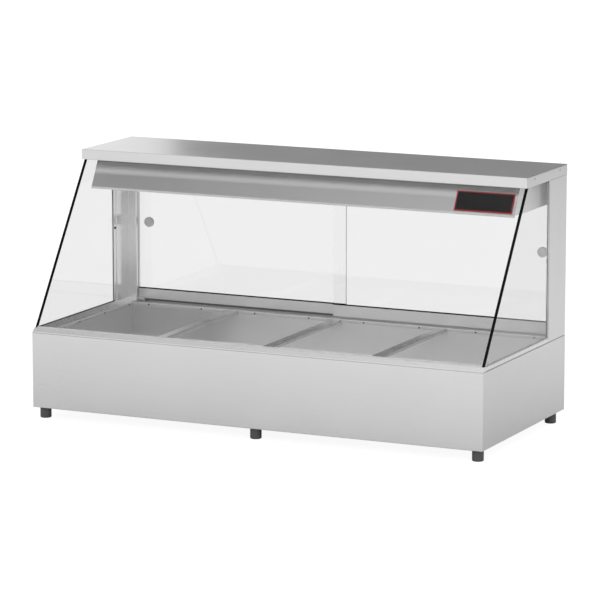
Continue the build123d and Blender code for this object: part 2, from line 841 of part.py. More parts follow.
def thermostat_knob():
    """A round knob with a skirt, a tapered body and a grip bar, on its spindle."""
    profile = [(0, knob_gap), (knob_skirt_radius, knob_gap), (knob_skirt_radius, knob_skirt)]
    face = knob_projection - knob_grip_rise
    profile += [(knob_body_radius, knob_skirt), (knob_top_radius, face), (0, face)]
    body = rear_faced(profile, control_x, control_z)
    grip_half = knob_grip_width / 2
    grip = block(control_x - grip_half, control_x + grip_half, rear_y + face, rear_y + knob_projection,
                 control_z - knob_top_radius + grip_half, control_z + knob_top_radius - grip_half)
    grip = fillet(grip.edges().filter_by(Axis.Y), grip_half / 2)
    spindle_end = panel_y - spindle_length + knob_gap
    return body + grip + rod("y", (control_x, control_z), spindle_radius, spindle_end, rear_y + knob_gap)


def thermostat_bulb():
    """The sensing bulb under the tank and the fine tube from it to the regulator."""
    bulb_z = tank_underside - element_gap - bulb_radius
    start = control_x + bulb_reach
    bulb = rod("x", (well_middle, bulb_z), bulb_radius, start, start + bulb_length)
    route = [(start, well_middle, bulb_z), (control_x, well_middle, bulb_z)]
    route += [(control_x, well_middle, control_z), (control_x, panel_y - thermostat_depth, control_z)]
    path = FilletPolyline(*route, radius=capillary_bend)
    tube = sweep(Plane(origin=path @ 0, z_dir=path % 0) * Circle(capillary_radius), path=path)
    return bulb + tube


def terminal_block():
    """A strip of terminals on the base floor, with a fin between each pair."""
    length = terminal_poles * terminal_pitch
    x0 = gland_x + terminal_offset
    y1 = panel_y - terminal_setback
    strip = block(x0, x0 + length, y1 - terminal_width, y1, floor_z, floor_z + terminal_base)
    fin_top = floor_z + terminal_base + terminal_fin_rise
    for x in spread(x0, x0 + length - terminal_fin, terminal_poles + 1):
        strip += block(x, x + terminal_fin, y1 - terminal_width, y1, floor_z, fin_top)
    return strip


def switch_housing(x):
    """A switch body through the rear panel, with a bezel outside and a pocket for its rocker."""
    bezel_half = bezel_width / 2
    bezel_rise = bezel_height / 2
    bezel = block(x - bezel_half, x + bezel_half, rear_y, rear_y + bezel_thickness,
                  control_z - bezel_rise, control_z + bezel_rise)
    body_half = switch_body_width / 2
    body_rise = switch_body_height / 2
    body = block(x - body_half, x + body_half, rear_y - switch_body_depth, rear_y,
                 control_z - body_rise, control_z + body_rise)
    pocket_half = pocket_width / 2
    pocket_rise = pocket_height / 2
    pocket = block(x - pocket_half, x + pocket_half, pocket_y, rear_y + bezel_thickness,
                   control_z - pocket_rise, control_z + pocket_rise)
    reach = pocket_half + pivot_length
    bores = rod("x", (rocker_y, control_z), pivot_radius + pivot_play, x - reach, x + reach)
    return bezel + body - pocket - bores


def rocker(x):
    """A rocker on two pivots, hollowed across its face, at rest tipped to its off side."""
    half = rocker_half_height
    left = Vector(rocker_y, control_z - half)
    right = Vector(rocker_y, control_z + half)
    top = rocker_y + rocker_rise
    sides = [Line(right, (top, control_z + half)), Line((top, control_z - half), left)]
    dished = ThreePointArc((top, control_z + half), (top - rocker_dip, control_z), (top, control_z - half))
    under = ThreePointArc(left, (rocker_y - half, control_z), right)
    reach = pocket_width / 2 - rocker_play
    body = drawn(make_face([sides[0], dished, sides[1], under]), "x", x - reach, x + reach)
    tip = pocket_width / 2 + pivot_length - rocker_play
    body += rod("x", (rocker_y, control_z), pivot_radius, x - tip, x + tip)
    return body.rotate(Axis((x, rocker_y, control_z), (1, 0, 0)), -rocker_tilt)


def pilot_lamp():
    """A round signal lamp: domed lens and flange outside the panel, body and nut inside."""
    profile = [(0, -pilot_depth), (pilot_radius, -pilot_depth), (pilot_radius, 0), (pilot_flange_radius, 0)]
    profile += [(pilot_flange_radius, pilot_flange), (pilot_radius, pilot_flange)]
    profile += [(pilot_radius / 2, pilot_flange + pilot_dome), (0, pilot_flange + pilot_dome)]
    nut_end = -sheet - gland_nut
    lamp = rear_faced(profile, pilot_x, control_z)
    return lamp + hexagon(pilot_flange_radius, (pilot_x, control_z), "y", rear_y + nut_end, panel_y)


def cable_gland():
    """A gland through the rear panel: six-sided body and tapered cap outside, lock nut inside."""
    dome_end = gland_hex + gland_dome
    profile = [(gland_bore_radius, -gland_inside), (gland_thread_radius, -gland_inside)]
    profile += [(gland_thread_radius, gland_hex), (gland_dome_radius, gland_hex)]
    profile += [(gland_bore_radius + gland_mouth, dome_end), (gland_bore_radius, dome_end)]
    body = rear_faced(profile, gland_x, gland_z)
    place = (gland_x, gland_z)
    ring = hexagon(gland_hex_radius, place, "y", rear_y, rear_y + gland_hex)
    ring += hexagon(gland_hex_radius, place, "y", panel_y - gland_nut, panel_y)
    return body + (ring - rod("y", place, gland_bore_radius, rear_y - gland_inside, rear_y + gland_hex))


def heating_elements():
    """Two hairpin elements under the tank floor, one for each half of the well."""
    legs = (well_middle - element_leg_spacing / 2, well_middle + element_leg_spacing / 2)
    route = [(element_inner_end, legs[0], element_z), (element_outer, legs[0], element_z)]
    route += [(element_outer, legs[1], element_z), (element_inner_end, legs[1], element_z)]
    path = FilletPolyline(*route, radius=element_bend)
    hairpin = sweep(Plane(origin=path @ 0, z_dir=path % 0) * Circle(element_radius), path=path)
    return Compound(both_sides(hairpin))


def element_clamps():
    """Hat-shaped straps that hold each leg of the elements up against the tank."""
    half = clamp_inner_half
    wing = half + clamp_flange
    drop = 2 * element_radius + 2 * element_gap
    clamps = []
    for leg in (-element_leg_spacing / 2, element_leg_spacing / 2):
        y = well_middle + leg
        points = [(y + wing, tank_underside), (y + half, tank_underside), (y + half, tank_underside - drop)]
        points += [(y - half, tank_underside - drop), (y - half, tank_underside), (y - wing, tank_underside)]
        strap = folded(points, clamp_sheet)
        for x in (element_inner_end + clamp_end_inset, element_outer - clamp_end_inset):
            clamps += both_sides(drawn(strap, "x", x - clamp_width / 2, x + clamp_width / 2))
    return Compound(clamps)


def pair(name, right_piece):
    """Left and right nodes from a right-hand piece."""
    left, right = both_sides(right_piece)
    return {f"left_{name}": left, f"right_{name}": right}


def door_nodes():
    """Pane, shoe and finger pull of each door. The right door runs in the front groove."""
    nodes = {}
    for name, side, y in (("left", -1, rear_door_y), ("right", 1, front_door_y)):
        nodes[f"{name}_door_glass"] = door_pane(side, y)
        nodes[f"{name}_door_shoe"] = door_shoe(side, y)
        nodes[f"{name}_finger_pull"] = finger_pull(side, y)
    return nodes


def all_nodes():
    """Every piece of the display, by node name."""
    nodes = {"base_shell": base_shell(), "base_floor": base_floor(), "foot_bolts": foot_bolts()}
    for name, place in foot_places().items():
        nodes[f"foot_{name}"] = foot(*place)
    nodes |= {"deck": deck(), "well_tank": well_tank(), "tank_screws": tank_screws()}
    nodes["divider_cleats"] = divider_cleats()
    for number, x in enumerate(bar_centres, start=1):
        nodes[f"divider_bar_{number}"] = divider_bar(x)
    nodes |= pair("post", right_post()) | pair("glass_channel", right_glass_channel())
    nodes |= pair("side_glass", right_side_glass()) | pair("edge_seal", right_edge_seal())
    nodes |= pair("sill_gasket", right_sill_gasket())
    nodes |= {"channel_bolts": channel_bolts(), "front_glass": front_glass()}
    nodes["front_sill_gasket"] = front_sill_gasket()
    nodes |= {"top_cap": top_cap(), "cap_screws": cap_screws(), "lamp_canopy": lamp_canopy()}
    nodes |= {"lamp_reflector": lamp_reflector(), "heat_lamps": heat_lamps(), "lamp_holders": lamp_holders()}
    nodes |= {"lower_door_track": lower_door_track(), "upper_door_track": upper_door_track()}
    nodes |= {"track_pile": track_pile(), "door_stops": door_stops()}
    nodes |= door_nodes()
    nodes |= {"rear_panel": rear_panel(), "rear_panel_screws": rear_panel_screws()}
    nodes |= {"thermostat": thermostat(), "thermostat_knob": thermostat_knob()}
    nodes |= {"thermostat_bulb": thermostat_bulb(), "terminal_block": terminal_block()}
    for name, x in zip(("heat", "lamp"), switch_x):
        nodes[f"{name}_switch_housing"] = switch_housing(x)
        nodes[f"{name}_rocker"] = rocker(x)
    nodes |= {"pilot_lamp": pilot_lamp(), "cable_gland": cable_gland()}
    nodes |= {"heating_elements": heating_elements(), "element_clamps": element_clamps()}
    return nodes


os.makedirs("parts", exist_ok=True)
for node_name, piece in all_nodes().items():
    export_step(piece, f"parts/{node_name}.step")
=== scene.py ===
import json
from math import cos, pi, radians, sin

import bmesh
import bpy
from mathutils import Matrix, Vector


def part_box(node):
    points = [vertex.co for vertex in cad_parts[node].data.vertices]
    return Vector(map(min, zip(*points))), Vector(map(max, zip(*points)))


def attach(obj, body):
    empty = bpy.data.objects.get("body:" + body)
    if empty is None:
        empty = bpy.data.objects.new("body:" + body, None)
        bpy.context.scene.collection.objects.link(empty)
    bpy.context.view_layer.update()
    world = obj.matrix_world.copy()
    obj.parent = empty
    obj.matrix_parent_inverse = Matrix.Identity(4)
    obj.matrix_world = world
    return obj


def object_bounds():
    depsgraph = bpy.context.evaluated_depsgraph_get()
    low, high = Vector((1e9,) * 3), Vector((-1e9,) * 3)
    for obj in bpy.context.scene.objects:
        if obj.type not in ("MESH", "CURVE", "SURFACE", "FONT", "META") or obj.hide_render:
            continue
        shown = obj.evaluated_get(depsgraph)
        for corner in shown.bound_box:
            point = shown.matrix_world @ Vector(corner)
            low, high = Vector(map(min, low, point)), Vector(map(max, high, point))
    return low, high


# Looks for the countertop hot food display: materials, small trim, studio and camera.
# Metres, degrees and watts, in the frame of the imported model.

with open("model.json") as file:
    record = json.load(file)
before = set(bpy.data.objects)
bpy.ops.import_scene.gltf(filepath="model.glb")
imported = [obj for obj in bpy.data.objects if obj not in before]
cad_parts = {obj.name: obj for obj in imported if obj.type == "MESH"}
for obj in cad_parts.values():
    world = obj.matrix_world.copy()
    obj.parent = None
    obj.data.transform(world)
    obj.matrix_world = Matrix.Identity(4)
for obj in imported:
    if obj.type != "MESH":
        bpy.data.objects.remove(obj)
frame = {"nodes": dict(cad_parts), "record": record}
cad_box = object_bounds()
nodes = frame["nodes"]

# Camera of the photograph
photo_side = 600
focal_pixels = 3572.4
sensor_width = 36.0
camera_place = (4.1515, -8.8359, 2.0949)
camera_pitch = 10.206
camera_yaw = 25.155

# White room: how bright it is to the eye and in mirrors, to matt surfaces, and behind glass
white_level = 1.0
room_level = 0.72
behind_glass = 0.858

# Floor: its paint for matt surfaces, and its paint and glow for the eye
floor_side = 60.0
floor_matt = 0.85
floor_seen_matt = 0.20
floor_seen_glow = 0.92

# Floor as the metal shows it: painted shade, darker near the object and a little darker far behind it, over the real
# shadow
painted_contact_shade = 0.6
contact_reach = 1.8
painted_rear_shade = 0.84
rear_start = 0.8
rear_end = 2.2

# Nodes that share a finish of their own
# The left post and the glass channels are painted lighter than the right post, standing in for light: painted light.
lightened_nodes = ("left_post", "left_glass_channel", "right_glass_channel")
bar_nodes = ("divider_bar_1", "divider_bar_2", "divider_bar_3")

# How squarely a face looks along an axis to count as facing it, and to count as one of the faces with painted light
# or shade
facing_least = 0.7
painted_face_least = 0.97

# Share of the raw noise that is spread from 0 to 1
noise_range = (0.3, 0.7)

# Grain of each kind of surface: grains to the metre, along X, Y and Z where they differ, and its depth
brush_lines = 7
sheet_clouds = 5
brush_depth = 0.0000012
rolled_waves = (14, 40, 40)
rolled_depth = 0.0002
cast_depth = 0.00002
moulded_clouds = 30
bristles = (3500, 3500, 40)
bristle_depth = 0.0003
roller_waves = 3
roller_depth = 0.00002
quartz_lines = (4, 1500, 1500)
quartz_depth = 0.00003
lens_ribs = (700, 700, 60)
lens_depth = 0.00006

# How far tone and roughness swing over each kind of surface, as shares of its own values
sheet_tones, sheet_swing = (0.97, 1.03), (0.9, 1.1)
rolled_tones, rolled_swing = (0.96, 1.03), (0.7, 1.3)
cast_tones, cast_swing = (0.85, 1.1), (0.8, 1.2)
moulded_tones, moulded_swing = (0.8, 1.2), (0.85, 1.15)
bristle_tones = (0.4, 2.0)
pane_tones = (0.995, 1.0)
lens_tones = (0.7, 1.2)

# The same where the values themselves are the limits
bristle_roughness = (0.75, 1.0)
lens_roughness = (0.12, 0.3)
quartz_colours = ((0.78, 0.74, 0.71), (0.92, 0.89, 0.87))

# Gap between a scene piece and the node that it lies on
touch_gap = 0.00002

# The canopy's front is the largest face that looks at least this far forward, and up between these limits
forward_look = -0.5
upward_look = (0.3, 0.7)

# Bare plate on the canopy's front
plate_width = 0.169
plate_height = 0.058
plate_end_gap = 0.0088
plate_lower_gap = 0.0033
plate_thickness = 0.0020
border_thickness = 0.0017
plate_round = 0.0015
plate_border = 0.0036

# Shallow swell along the canopy's front: where its crest is, up from the lower edge, and its size
swell_crest = 0.062
swell_half = 0.026
swell_height = 0.0015
swell_steps = 26

# Pale foam between the cap's front flange and the canopy, whose pale colour stands in for light in that shaded gap
# (painted light): mm to the rear and up from the flange's inner lower edge
flange_depth = 0.024
foam_profile = ((0.02, 0.2), (16.5, 0.2), (19.7, 5.8), (0.02, 5.8))

# Ground edge of the rear door, where the doors overlap
ground_edge = 0.0004
ground_round = 0.00015
ground_gap = 0.001

# Glazing strips on the doors' bottom rails
strip_height = 0.0032
strip_round = 0.0004

# Dark bead inside the left pane's foot, standing in for the shade there: painted shade
bead_side = 0.0025
bead_round = 0.0008
bead_front_gap = 0.0019

# Fillet along the front pane's foot: mm to the rear and up from the gasket's front lower edge
fillet_profile = ((-1.3, 0.02), (-0.02, 0.02), (-0.02, 1.0), (1.8, 3.7), (1.2, 3.3), (0.4, 2.5), (-0.4, 1.5),
                  (-1.0, 0.7))

# Rolled edge round the well, pale and matt: a painted highlight along the fold. The fold lies two sheets inside the
# tank's outer box
fold_inset = 0.0024
rim_edge = 0.0026
rim_round = 0.001
rim_reach = 0.001
rim_rise = 0.0008

# Marks on the rear controls
tick_count = 10
tick_sweep = 270.0
tick_length = 0.005
tick_width = 0.0009
tick_gap = 0.0025
number_gap = 0.0122
number_size = 0.0055
mark_rise = 0.0002
pointer_width = 0.0016
pointer_runs = ((0.0120, 0.0146), (0.0176, 0.0216))
rocker_mark_size = 0.0048
rocker_mark_thickness = 0.0003
rocker_marks = (("I", 0.0028), ("O", -0.0036))
sign_curve_steps = 4
sign_weld = 0.000001
cast_distance = 0.05


class Tree:
    """A node tree, with short ways to add nodes and to feed them."""

    def __init__(self, tree):
        self.tree = tree

    def add(self, kind, values=None, **settings):
        """A new node with its settings and inputs."""
        node = self.tree.nodes.new("ShaderNode" + kind)
        for name, value in settings.items():
            setattr(node, name, value)
        self.set(node, values or {})
        return node

    def set(self, node, values):
        """Gives each named input a plain value or links it to another node's output."""
        for name, value in values.items():
            socket = node.inputs[name if isinstance(name, int) else name.replace("_", " ")]
            if isinstance(value, bpy.types.NodeSocket):
                self.tree.links.new(value, socket)
            else:
                socket.default_value = value

    def math(self, operation, *values):
        """Arithmetic on numbers."""
        return self.add("Math", dict(enumerate(values)), operation=operation).outputs[0]

    def vector(self, operation, *values):
        """Arithmetic on vectors or colours."""
        return self.add("VectorMath", dict(enumerate(values)), operation=operation).outputs[0]

    def part(self, vector, axis):
        """A vector's part along one axis."""
        return self.add("SeparateXYZ", {"Vector": vector}).outputs[axis]

    def between(self, value, low, high, start=0.0, end=1.0):
        """A value spread over another range."""
        limits = {"Value": value, "From Min": start, "From Max": end, "To Min": low, "To Max": high}
        return self.add("MapRange", limits).outputs["Result"]

    def blend(self, first, second, share=0.5):
        """A blend of two values."""
        return self.add("Mix", {"Factor": share, "A": first, "B": second}, data_type="FLOAT").outputs["Result"]

    def rays(self, *kinds):
        """1 for rays of the named kinds, 0 for all others."""
        path = self.add("LightPath").outputs
        seen = path[f"Is {kinds[0]} Ray"]
        for kind in kinds[1:]:
            seen = self.math("MAXIMUM", seen, path[f"Is {kind} Ray"])
        return seen


class Surface(Tree):
    """A material with one main shader."""

    def __init__(self, name, **values):
        self.material = bpy.data.materials.new(name)
        self.material.use_nodes = True
        super().__init__(self.material.node_tree)
        self.shader = self.tree.nodes["Principled BSDF"]
        self.output = self.tree.nodes["Material Output"]
        self.coordinates = self.add("TexCoord").outputs
        self.place = self.coordinates["Object"]
        self.set(self.shader, values)

    def noise(self, per_metre, detail=2.0):
        """Noise between 0 and 1 with its own number of grains to the metre along each axis."""
        stretched = self.add("Mapping", {"Vector": self.place, "Scale": per_metre})
        grain = self.add("TexNoise", {"Vector": stretched.outputs["Vector"], "Scale": 1.0, "Detail": detail})
        return self.between(grain.outputs["Fac"], 0.0, 1.0, *noise_range)

    def colours(self, value, dark, light):
        """A colour between two others, by a value from 0 to 1."""
        ramp = self.add("ValToRGB", {"Fac": value})
        ramp.color_ramp.elements[0].color = opaque(dark)
        ramp.color_ramp.elements[1].color = opaque(light)
        return ramp.outputs["Color"]

    def tones(self, value, colour, shares):
        """Darker and lighter tones of a colour, by a value from 0 to 1."""
        return self.colours(value, *(shade(colour, share) for share in shares))

    def swing(self, value, roughness, shares):
        """A roughness that swings with a value from 0 to 1."""
        return self.between(value, *(min(1.0, roughness * share) for share in shares))

    def times(self, colour, factor):
        """A colour made lighter or darker by a value."""
        return self.vector("MULTIPLY", colour, factor)

    def bump(self, height, depth):
        """Makes the surface uneven by a height between 0 and 1 and a depth in metres."""
        normal = self.add("Bump", {"Strength": 1.0, "Distance": depth, "Height": height})
        self.set(self.shader, {"Normal": normal.outputs["Normal"]})

    def facing(self, axis, least=facing_least):
        """1 on faces that look along one axis, 0 on the others. Both ways count, unless the axis has a minus sign."""
        normal = self.part(self.add("NewGeometry").outputs["Normal"], axis[-1])
        if axis[0] == "-":
            return self.math("LESS_THAN", normal, -least)
        return self.math("GREATER_THAN", self.math("ABSOLUTE", normal), least)


def grey(level):
    """A neutral colour."""
    return (level, level, level)


def opaque(colour):
    """A colour with the fourth value that shader inputs take."""
    return (*colour, 1.0)


def shade(colour, factor):
    """A lighter or darker colour."""
    return tuple(part * factor for part in colour)


def every_way(grains):
    """The same number of grains along all three axes."""
    return (grains, grains, grains)


def brushed_metal(name, colour, roughness, shine, streaks=900, painted_faces=None, painted_dark_end=None, grain="X"):
    """Sheet metal with fine brush lines along one axis. Those along X turn to Y on faces that look sideways.

    Faces that look straight along the given axes have a shine of their own and a lightness of their own, painted
    light or painted shade that stands in for how light falls on them. A painted dark end is painted shade: its
    lightness, and where along X it begins to fade and is gone.
    """
    metal = Surface(name, Metallic=shine)
    streak = metal.noise([brush_lines if axis == grain else streaks for axis in "XYZ"], detail=3.0)
    if grain == "X":
        sideways = metal.noise((streaks, brush_lines, streaks), detail=3.0)
        streak = metal.blend(streak, sideways, metal.facing("X"))
    mixed = metal.blend(streak, metal.noise(every_way(sheet_clouds), detail=4.0))
    tone = metal.tones(mixed, colour, sheet_tones)
    # Painted light and shade: faces along the given axes get their own shine and a painted lightness.
    if painted_faces:
        axes, painted_face_shine, lightness = painted_faces
        share = 0.0
        for axis in axes:
            share = metal.math("MAXIMUM", share, metal.facing(axis, painted_face_least))
        metal.set(metal.shader, {"Metallic": metal.between(share, shine, painted_face_shine)})
        tone = metal.times(tone, metal.between(share, 1.0, lightness))
    # Painted shade: a darker end along X.
    if painted_dark_end:
        lightness, start, end = painted_dark_end
        along = metal.part(metal.place, "X")
        tone = metal.times(tone, metal.between(along, lightness, 1.0, start, end))
    metal.set(metal.shader, {"Base Color": tone, "Roughness": metal.swing(mixed, roughness, sheet_swing)})
    metal.bump(streak, brush_depth)
    return metal.material


def rolled_metal(name, colour, roughness):
    """Bright sheet with slow waves and small dents."""
    metal = Surface(name, Metallic=1.0)
    waves = metal.noise(rolled_waves)
    metal.set(metal.shader, {"Base Color": metal.tones(waves, colour, rolled_tones),
                             "Roughness": metal.swing(waves, roughness, rolled_swing)})
    metal.bump(waves, rolled_depth)
    return metal.material


def cast_metal(name, colour, roughness, grains=1800, shine=1.0):
    """Small plated or drawn metal pieces with a fine uneven skin."""
    metal = Surface(name, Metallic=shine)
    grain = metal.noise(every_way(grains), detail=3.0)
    metal.set(metal.shader, {"Base Color": metal.tones(grain, colour, cast_tones),
                             "Roughness": metal.swing(grain, roughness, cast_swing)})
    metal.bump(grain, cast_depth)
    return metal.material


def moulded(name, colour, roughness, grains=900, depth=0.00004, gloss=0.5):
    """Moulded plastic, rubber, foam, paint or ceramic with a fine even grain and slow colour changes."""
    stuff = Surface(name, Specular_IOR_Level=gloss)
    grain = stuff.noise(every_way(grains))
    mixed = stuff.blend(grain, stuff.noise(every_way(moulded_clouds), detail=3.0))
    stuff.set(stuff.shader, {"Base Color": stuff.tones(mixed, colour, moulded_tones),
                             "Roughness": stuff.swing(mixed, roughness, moulded_swing)})
    stuff.bump(grain, depth)
    return stuff.material


def brush_pile(name, colour):
    """Upright bristles in a narrow strip."""
    pile = Surface(name, Sheen_Weight=0.3)
    bristle = pile.noise(bristles)
    pile.set(pile.shader, {"Base Color": pile.tones(bristle, colour, bristle_tones),
                           "Roughness": pile.between(bristle, *bristle_roughness)})
    pile.bump(bristle, bristle_depth)
    return pile.material


def pane(name, colour, film, bend=1.25):
    """Clear glass with a trace of roller waves. Lamps shine through it, with the film's tint."""
    glass = Surface(name, Roughness=0.0, IOR=bend, Transmission_Weight=1.0)
    wave = glass.noise(every_way(roller_waves), detail=1.0)
    glass.set(glass.shader, {"Base Color": glass.tones(wave, colour, pane_tones)})
    glass.bump(wave, roller_depth)
    through = glass.add("BsdfTransparent", {"Color": opaque(film)})
    both = glass.add("MixShader", {0: glass.rays("Shadow"), 1: glass.shader.outputs[0], 2: through.outputs[0]})
    glass.set(glass.output, {"Surface": both.outputs[0]})
    return glass.material


def quartz(name):
    """A milky quartz tube with drawing lines along it."""
    tube = Surface(name, Roughness=0.25, IOR=1.46, Transmission_Weight=0.75)
    lines = tube.noise(quartz_lines)
    tube.set(tube.shader, {"Base Color": tube.colours(lines, *quartz_colours)})
    tube.bump(lines, quartz_depth)
    return tube.material


def lens(name, colour):
    """A tinted plastic lens with fine ribs, faintly lit from behind."""
    plastic = Surface(name, IOR=1.49, Transmission_Weight=0.4, Emission_Strength=0.15)
    ribs = plastic.noise(lens_ribs, detail=1.0)
    tint = plastic.tones(ribs, colour, lens_tones)
    plastic.set(plastic.shader, {"Base Color": tint, "Emission Color": tint,
                                 "Roughness": plastic.between(ribs, *lens_roughness)})
    plastic.bump(ribs, lens_depth)
    return plastic.material


def finishes():
    """One material for each slot of the record."""
    return {
        "casing_steel": brushed_metal("casing_steel_brushed", grey(0.72), roughness=0.30, shine=0.85),
        # The well's steel is darker at its left end, standing in for shade: painted shade.
        "well_steel": brushed_metal("well_steel_brushed", grey(0.95), roughness=0.34, shine=0.6,
                                    painted_dark_end=(0.80, -0.40, -0.30)),
        "bright_reflector": rolled_metal("bright_reflector_rolled", grey(0.80), roughness=0.12),
        "clear_glass": pane("clear_glass_pane", grey(0.975), grey(0.95), bend=1.45),
        "black_seal": moulded("black_seal_rubber", grey(0.003), roughness=0.8, grains=1200, depth=0.00001, gloss=0.1),
        "grey_gasket": moulded("grey_gasket_rubber", grey(0.03), roughness=0.7),
        "clear_silicone": moulded("clear_silicone_bead", grey(0.5), roughness=0.35, grains=300, depth=0.00002),
        "foot_rubber": moulded("foot_rubber_grained", grey(0.075), roughness=0.5),
        "fastener_steel": cast_metal("fastener_steel_plated", grey(0.42), roughness=0.35),
        "dark_screw": cast_metal("dark_screw_blackened", grey(0.07), roughness=0.45),
        "track_aluminium": brushed_metal("track_aluminium_anodised", grey(0.94), roughness=0.24, shine=0.25,
                                         streaks=1500),
        "pile_black": brush_pile("pile_black_bristles", grey(0.12)),
        "stop_nylon": moulded("stop_nylon_moulded", grey(0.85), roughness=0.45),
        "pull_steel": cast_metal("pull_steel_spun", grey(0.9), roughness=0.4, grains=700, shine=0.3),
        "lamp_quartz": quartz("lamp_quartz_tube"),
        "ceramic": moulded("ceramic_glazed", (0.78, 0.76, 0.71), roughness=0.35, grains=500, depth=0.00008),
        "element_sheath": cast_metal("element_sheath_oxidised", (0.19, 0.17, 0.16), roughness=0.55, grains=400),
        "control_black": moulded("control_black_moulded", grey(0.022), roughness=0.42, grains=1400),
        "rocker_green": lens("rocker_green_lens", (0.02, 0.25, 0.05)),
        "pilot_amber": lens("pilot_amber_lens", (0.75, 0.22, 0.02)),
        "terminal_plastic": moulded("terminal_plastic_moulded", (0.62, 0.60, 0.54), roughness=0.5),
    }


def own_finishes():
    """The finishes of nodes that differ from their slot."""
    # Lighter steel for the left post and the glass channels, standing in for light: painted light.
    lightened_post_steel = brushed_metal("post_steel_painted_light", grey(0.96), roughness=0.17, shine=0.5, grain="Z")
    bars = brushed_metal("bar_steel_brushed", grey(0.70), roughness=0.28, shine=0.85, grain="Y")
    return dict.fromkeys(lightened_nodes, lightened_post_steel) | dict.fromkeys(bar_nodes, bars) | {
        "right_post": brushed_metal("post_steel_brushed", grey(0.72), roughness=0.30, shine=0.85, grain="Z"),
        # The lower track is painted much darker than the rails, standing in for shade: painted shade.
        "lower_door_track": brushed_metal("lower_track_painted_shade", grey(0.42), roughness=0.4, shine=0.4, streaks=1500),
        # The canopy's ends are painted lighter, standing in for light: painted light.
        "lamp_canopy": brushed_metal("canopy_steel_bright", grey(0.67), roughness=0.15, shine=0.7,
                                     painted_faces=(("X",), 0.05, 1.45)),
        # The cap's underside is painted lighter, standing in for light: painted light.
        "top_cap": brushed_metal("cap_steel_brushed", grey(0.72), roughness=0.30, shine=0.85,
                                 painted_faces=(("-Z",), 0.1, 1.3)),
        # The deck's faces along Z and Y are painted a little darker, standing in for shade: painted shade.
        "deck": brushed_metal("deck_steel_brushed", grey(0.78), roughness=0.28, shine=0.8,
                              painted_faces=(("Z", "Y"), 0.15, 0.93)),
        "front_glass": pane("front_glass_pane", grey(0.95), grey(0.95)),
        "left_side_glass": pane("left_glass_pane", grey(0.97), grey(0.95)),
        # The right pane is tinted darker than the other panes, standing in for shade: painted shade.
        "right_side_glass": pane("right_glass_pane_painted_shade", grey(0.86), grey(0.95)),
    }


def dress_nodes():
    """Gives every node of the frame its own finish or that of its slot, and returns the slots' finishes."""
    made, own = finishes(), own_finishes()
    for part in frame["record"]["subparts"]:
        for slot in nodes[part["node"]].material_slots:
            slot.material = own.get(part["node"], made[part["material_slot"]])
    return made


def new_piece(name, mesh_maker, material, body):
    """A new mesh piece that rides on a body."""
    mesh = bpy.data.meshes.new(name)
    shape = bmesh.new()
    mesh_maker(shape)
    shape.to_mesh(mesh)
    shape.free()
    piece = bpy.data.objects.new(name, mesh)
    bpy.context.collection.objects.link(piece)
    mesh.materials.append(material)
    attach(piece, body)
    return piece


def in_metres(points):
    """An outline given in millimetres."""
    return [(across / 1000, up / 1000) for across, up in points]


def rounded_outline(width, height, radius, steps=4):
    """Corner points of a rectangle with round corners, about its centre."""
    points = []
    for quarter, (x, y) in enumerate(((1, 1), (-1, 1), (-1, -1), (1, -1))):
        for step in range(steps + 1):
            angle = (quarter + step / steps) * pi / 2
            points.append((x * (width / 2 - radius) + radius * cos(angle),
                           y * (height / 2 - radius) + radius * sin(angle)))
    return points


def slab(shape, points, place, low, high):
    """Adds a flat slab to a mesh: an outline in the place's own X and Y, from low to high along its Z."""
    rings = [[shape.verts.new(place @ Vector((x, y, z))) for x, y in points] for z in (low, high)]
    shape.faces.new(list(reversed(rings[0])))
    shape.faces.new(rings[1])
    for step, corner in enumerate(rings[0]):
        after = (step + 1) % len(points)
        shape.faces.new((corner, rings[0][after], rings[1][after], rings[1][step]))


def place_of(origin, across, up):
    """A place with X along one direction, Y along another and Z square to both."""
    across, up = Vector(across), Vector(up)
    axes = Matrix((across, up, across.cross(up))).transposed().to_4x4()
    return Matrix.Translation(origin) @ axes


def add_prism(name, points, place, length, material, body):
    """A piece with one outline all along its length."""
    return new_piece(name, lambda shape: slab(shape, points, place, 0.0, length), material, body)


def canopy_face():
    """The canopy's front: a place at its lower edge's right end, X along it, Y up it and Z out of it."""
    mesh = nodes["lamp_canopy"].data
    least_up, most_up = upward_look
    sloped = [face for face in mesh.polygons
              if face.normal.y < forward_look and least_up < face.normal.z < most_up]
    front = max(sloped, key=lambda face: face.area)
    lowest = min((mesh.vertices[corner].co for corner in front.vertices), key=lambda point: point.z)
    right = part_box("lamp_canopy")[1][0]
    return place_of((right, lowest.y, lowest.z), (1, 0, 0), (0, front.normal.z, -front.normal.y))


def add_swell():
    """A shallow swell along the canopy's front, as rolled sheet has, in the canopy's own finish."""
    face = canopy_face()
    low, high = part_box("lamp_canopy")
    up, out = face.col[1].to_3d(), face.col[2].to_3d()
    bottom = swell_crest - swell_half
    top = min(swell_crest + swell_half, (high[2] - face.translation.z) / up.z)
    points = []
    for step in range(swell_steps + 1):
        at = bottom + step / swell_steps * (top - bottom)
        points.append((at, swell_height / 2 * (1 + cos(pi * (at - swell_crest) / swell_half))))
    points += [(top, -touch_gap), (bottom, -touch_gap)]
    start = Vector((low[0], face.translation.y, face.translation.z))
    steel = nodes["lamp_canopy"].material_slots[0].material
    add_prism("canopy_swell", points, place_of(start, up, out), high[0] - low[0], steel, "cabinet")


